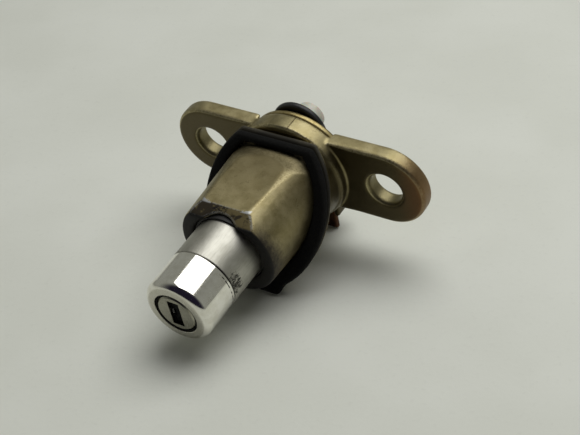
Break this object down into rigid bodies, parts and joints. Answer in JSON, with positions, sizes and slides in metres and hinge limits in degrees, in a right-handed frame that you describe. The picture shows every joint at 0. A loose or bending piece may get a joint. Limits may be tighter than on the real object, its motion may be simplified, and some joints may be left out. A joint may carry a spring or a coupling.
{
  "type": "push-button cam lock",
  "caption": "Push-button key lock: eared zinc casting with a slanted panel gasket, sprung round button with a key plug, and a key-turned cam with a roller behind.",
  "frame": {"origin": "lock axis at the flange's rear face, midway between the two ear holes", "axes": "+Z along the lock axis and out of the button, +X towards one ear, +Y towards the nose's flat"},
  "size_m": [0.071, 0.0387, 0.0642],
  "materials": {
    "casting": "yellow passivated zinc die casting, satin",
    "gasket_rubber": "matte moulded rubber",
    "polished": "polished",
    "satin_steel": "satin, brushed lengthwise",
    "plug_metal": "satin, lightly worn",
    "passivated_steel": "yellow passivated sheet steel",
    "plain_steel": "bright drawn steel",
    "spring_steel": "oiled spring steel",
    "black_oxide": "black oxide",
    "wafer_brass": "stamped",
    "cam_plastic": "moulded, satin black",
    "nylon": "natural nylon, slightly translucent",
    "copper_steel": "copper flashed steel, dull",
    "grey_bush": "grey acetal"
  },
  "bodies": {
    "case": {"housing": "casting", "panel_gasket": "gasket_rubber", "nose_bush": "grey_bush", "rear_cover": "passivated_steel", "cover_screws": "plain_steel", "return_spring": "spring_steel", "lever_pin": "plain_steel", "lever_clip": "black_oxide", "lever_spring": "spring_steel"},
    "button": {"button_cap": "polished", "button_sleeve": "satin_steel", "plug_seal": "gasket_rubber"},
    "plug": {"lock_plug": "plug_metal", "wafer_springs": "spring_steel", "shutter_pin": "plain_steel", "shutter_spring": "spring_steel", "plug_circlip": "black_oxide", "drive_spindle": "plain_steel", "spindle_pin": "plain_steel"},
    "wafers": {"wafer_tumblers": "wafer_brass"},
    "shutter": {"keyway_shutter": "black_oxide"},
    "cam": {"cam_plate": "cam_plastic", "cam_circlip": "black_oxide", "crank_pin": "plain_steel"},
    "roller": {"crank_roller": "nylon"},
    "lever": {"release_lever": "copper_steel"}
  },
  "joints": [
    {"name": "button_press", "type": "slide", "parent": "case", "child": "button", "axis": [0, 0, -1], "range_m": [0, 0.006], "stiffness_N_per_m": 1500, "springref_m": -0.004, "deforming": ["return_spring"]},
    {"name": "key_turn", "type": "hinge", "parent": "button", "child": "plug", "pos_m": [0, 0, 0], "axis": [0, 0, -1], "range_deg": [0, 90]},
    {"name": "wafer_draw", "type": "slide", "parent": "plug", "child": "wafers", "axis": [0, -1, 0], "range_m": [0, 0.00055], "stiffness_N_per_m": 200, "springref_m": -0.0005},
    {"name": "shutter_swing", "type": "hinge", "parent": "plug", "child": "shutter", "pos_m": [-0.00125, 0, 0.0559], "axis": [0, 1, 0], "range_deg": [0, 80], "stiffness_Nm_per_rad": 0.0002, "springref_deg": -11.46},
    {"name": "cam_turn", "type": "hinge", "parent": "case", "child": "cam", "pos_m": [0, 0, 0], "axis": [0, 0, -1], "range_deg": [0, 90]},
    {"name": "roller_spin", "type": "hinge", "parent": "cam", "child": "roller", "pos_m": [0, 0.0082, 0], "axis": [0, 0, 1], "continuous": true},
    {"name": "lever_swing", "type": "hinge", "parent": "case", "child": "lever", "pos_m": [0, -0.015, -0.0024], "axis": [-1, 0, 0], "range_deg": [0, 22]}
  ],
  "couplings": [
    {"joint": "cam_turn", "follows": "key_turn", "ratio": 1},
    {"joint": "lever_swing", "follows": "button_press", "rad_per_m": 63.9}
  ]
}
